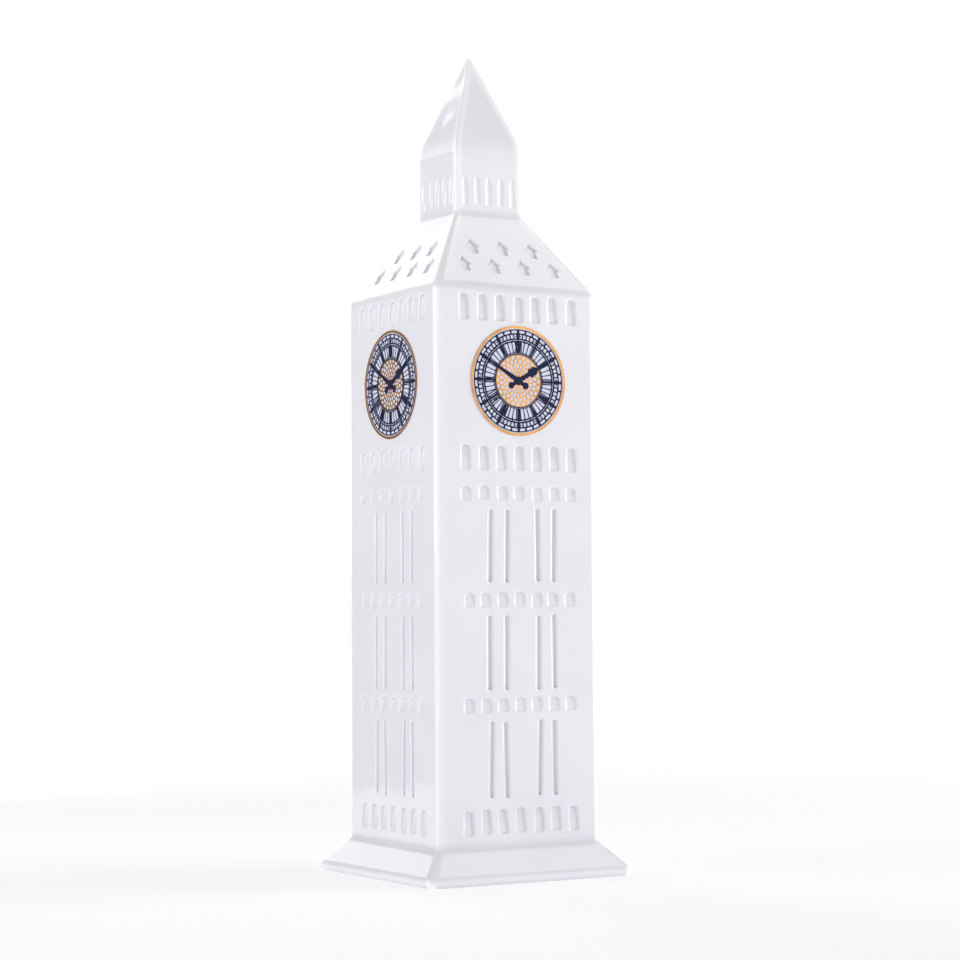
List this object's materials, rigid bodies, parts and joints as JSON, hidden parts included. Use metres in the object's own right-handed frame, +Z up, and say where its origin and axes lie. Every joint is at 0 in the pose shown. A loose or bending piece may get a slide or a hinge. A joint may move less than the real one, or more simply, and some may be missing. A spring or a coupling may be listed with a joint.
{
  "type": "miniature clock tower",
  "caption": "Hollow white glazed porcelain clock tower ornament with a splayed plinth, pressed windows, a hipped roof, a belfry, a spire and a printed navy and gold dial on each side.",
  "frame": {"origin": "centre of the square footprint, on the plane of the foot", "axes": "+Z up to the tip of the spire; the front dial faces -Y, the left dial faces -X, with +X to the right of the front"},
  "size_m": [0.079, 0.079, 0.279],
  "materials": {
    "glazed_porcelain": "gloss",
    "unglazed_porcelain": "matte",
    "pale_enamel": "gloss",
    "navy_enamel": "gloss",
    "fired_gold": "satin"
  },
  "bodies": {
    "root": {"plinth": "glazed_porcelain", "base_plate": "unglazed_porcelain", "shaft": "glazed_porcelain", "roof": "glazed_porcelain", "belfry": "glazed_porcelain", "spire": "glazed_porcelain", "front_dial_ground": "pale_enamel", "front_dial_gold": "fired_gold", "front_dial_navy": "navy_enamel", "front_dial_hands": "navy_enamel", "left_dial_ground": "pale_enamel", "left_dial_gold": "fired_gold", "left_dial_navy": "navy_enamel", "left_dial_hands": "navy_enamel", "back_dial_ground": "pale_enamel", "back_dial_gold": "fired_gold", "back_dial_navy": "navy_enamel", "back_dial_hands": "navy_enamel", "right_dial_ground": "pale_enamel", "right_dial_gold": "fired_gold", "right_dial_navy": "navy_enamel", "right_dial_hands": "navy_enamel"}
  },
  "joints": []
}
